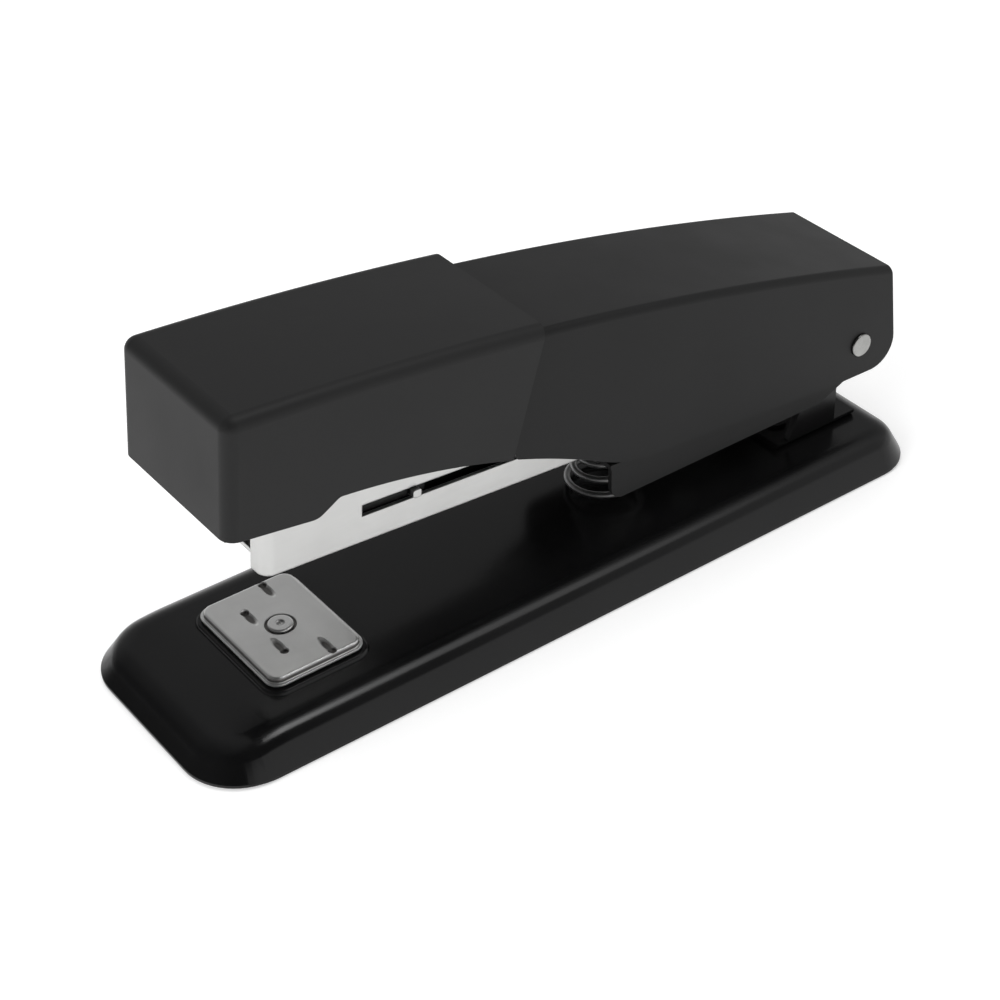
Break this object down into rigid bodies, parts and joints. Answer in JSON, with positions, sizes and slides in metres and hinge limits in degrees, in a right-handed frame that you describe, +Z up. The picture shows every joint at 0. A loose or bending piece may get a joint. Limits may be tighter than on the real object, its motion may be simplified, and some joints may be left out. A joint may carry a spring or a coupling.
{
  "type": "desk stapler",
  "caption": "Desk stapler: a gloss black pressed base with a turning anvil, a plated staple magazine on a conical lift spring, and a hinged black handle with a moulded front cap.",
  "frame": {"origin": "On the table under the middle of the base.", "axes": "+X runs from the nose to the hinge, +Y across to the far side, +Z up; the base lies along X."},
  "size_m": [0.1468, 0.0436, 0.0608],
  "materials": {
    "gloss_enamel": "gloss black enamel",
    "black_paint": "satin black paint",
    "black_plastic": "satin black moulding",
    "sole_rubber": "matt black rubber",
    "nickel_plate": "bright nickel plate",
    "anvil_steel": "bright plated steel",
    "pin_steel": "plated steel",
    "spring_steel": "drawn spring steel",
    "pusher_steel": "plain pressed steel",
    "staple_wire": "zinc coated wire"
  },
  "bodies": {
    "base": {"base_plate": "gloss_enamel", "rubber_sole": "sole_rubber", "hinge_bracket": "gloss_enamel", "bracket_rivets": "gloss_enamel", "hinge_pin": "pin_steel", "pin_spacers": "pin_steel", "anvil_leaf": "spring_steel", "lift_spring": "spring_steel"},
    "anvil": {"anvil_plate": "anvil_steel", "anvil_post": "anvil_steel", "anvil_retainer": "pin_steel"},
    "magazine": {"magazine_carrier": "black_paint", "magazine_channel": "nickel_plate", "carrier_rivets": "pin_steel", "spring_stud": "pin_steel", "staple_rail": "black_paint", "staple_strip": "staple_wire", "rod_anchor": "pusher_steel", "pusher_rod": "pin_steel", "pusher_spring": "spring_steel"},
    "pusher": {"pusher": "pusher_steel"},
    "handle": {"handle_arm": "black_paint", "front_cap": "black_plastic", "driver_blade": "pusher_steel", "driver_rivets": "pin_steel", "handle_spring": "spring_steel", "leaf_rivets": "pin_steel"}
  },
  "joints": [
    {"name": "magazine_hinge", "type": "hinge", "parent": "base", "child": "magazine", "pos_m": [0.0646, 0, 0.0234], "axis": [0, 1, 0], "range_deg": [-7.8, 40], "stiffness_Nm_per_rad": 1.2, "springref_deg": 3.44, "deforming": ["lift_spring"]},
    {"name": "handle_hinge", "type": "hinge", "parent": "magazine", "child": "handle", "pos_m": [0.0646, 0, 0.0234], "axis": [0, 1, 0], "range_deg": [-4, 80], "stiffness_Nm_per_rad": 0.8, "springref_deg": 2.58, "deforming": ["handle_spring"]},
    {"name": "pusher_slide", "type": "slide", "parent": "magazine", "child": "pusher", "axis": [0.9975, 0, -0.0713], "range_m": [0, 0.045], "stiffness_N_per_m": 60, "springref_m": -0.05, "deforming": ["pusher_spring"]},
    {"name": "anvil_turn", "type": "hinge", "parent": "base", "child": "anvil", "pos_m": [-0.04819, 0, 0.008], "axis": [0, 0, 1], "range_deg": [0, 180]}
  ]
}
